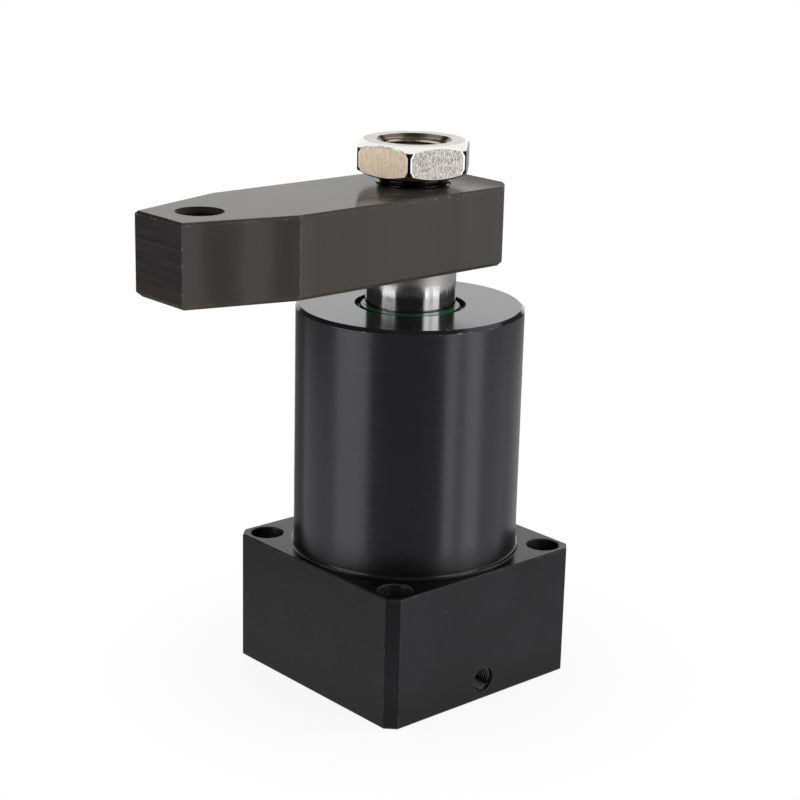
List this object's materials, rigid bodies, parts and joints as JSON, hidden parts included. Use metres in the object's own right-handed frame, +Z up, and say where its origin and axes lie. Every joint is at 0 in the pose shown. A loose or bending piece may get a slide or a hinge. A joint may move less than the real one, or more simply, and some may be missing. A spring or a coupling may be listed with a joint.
{
  "type": "swing clamp cylinder",
  "caption": "Double-acting hydraulic swing clamp: square base with mounting holes, round body, chrome rod that lifts and turns, tapered clamp arm and hex nut.",
  "frame": {"origin": "middle of the base's bottom face, in the centre of the mounting hole pattern", "axes": "+Z up along the rod axis; -Y is the face with the front port; the clamped arm points along -X"},
  "size_m": [0.141, 0.082, 0.1828],
  "materials": {
    "body_black": "satin black oxide with fine turning marks",
    "arm_black": "dull warm black oxide on milled steel",
    "nut_nickel": "bright nickel with brushed flats",
    "rod_chrome": "hard chrome, ground and polished",
    "cover_steel": "turned bare steel",
    "guide_steel": "hardened and ground",
    "ball_steel": "polished bearing steel",
    "bronze": "machined bronze",
    "seal_rubber": "matt black rubber",
    "seal_blue": "matt blue polyurethane",
    "wiper_green": "satin green polyurethane",
    "ring_ivory": "matt ivory acetal",
    "ring_teal": "waxy filled plastic",
    "ring_brown": "matt brown fabric laminate"
  },
  "bodies": {
    "housing": {"cylinder_body": "body_black", "bottom_cover": "cover_steel", "cover_o_ring": "seal_rubber", "passage_plug": "cover_steel", "rod_bush": "bronze", "rod_seal": "seal_blue", "seal_backup_ring": "ring_ivory", "rod_wiper": "wiper_green", "guide_pins": "guide_steel"},
    "guide": {"guide_sleeve": "guide_steel", "guide_balls": "ball_steel"},
    "piston": {"piston": "cover_steel", "piston_slide_ring": "ring_teal", "piston_energizer": "seal_rubber", "piston_wear_ring": "ring_brown", "thrust_washer": "bronze", "spigot_seal": "seal_rubber"},
    "rod": {"piston_rod": "rod_chrome", "piston_nut": "cover_steel", "clamp_arm": "arm_black", "arm_nut": "nut_nickel"}
  },
  "joints": [
    {"name": "clamp_stroke", "type": "slide", "parent": "housing", "child": "guide", "axis": [0, 0, 1], "range_m": [0, 0.012]},
    {"name": "swing_lift", "type": "slide", "parent": "guide", "child": "piston", "axis": [0, 0, 1], "range_m": [0, 0.01401]},
    {"name": "arm_swing", "type": "hinge", "parent": "piston", "child": "rod", "pos_m": [0, 0, 0.1], "axis": [0, 0, 1], "range_deg": [0, 90]}
  ],
  "couplings": [
    {"joint": "swing_lift", "follows": "arm_swing", "m_per_rad": 0.0089127}
  ]
}
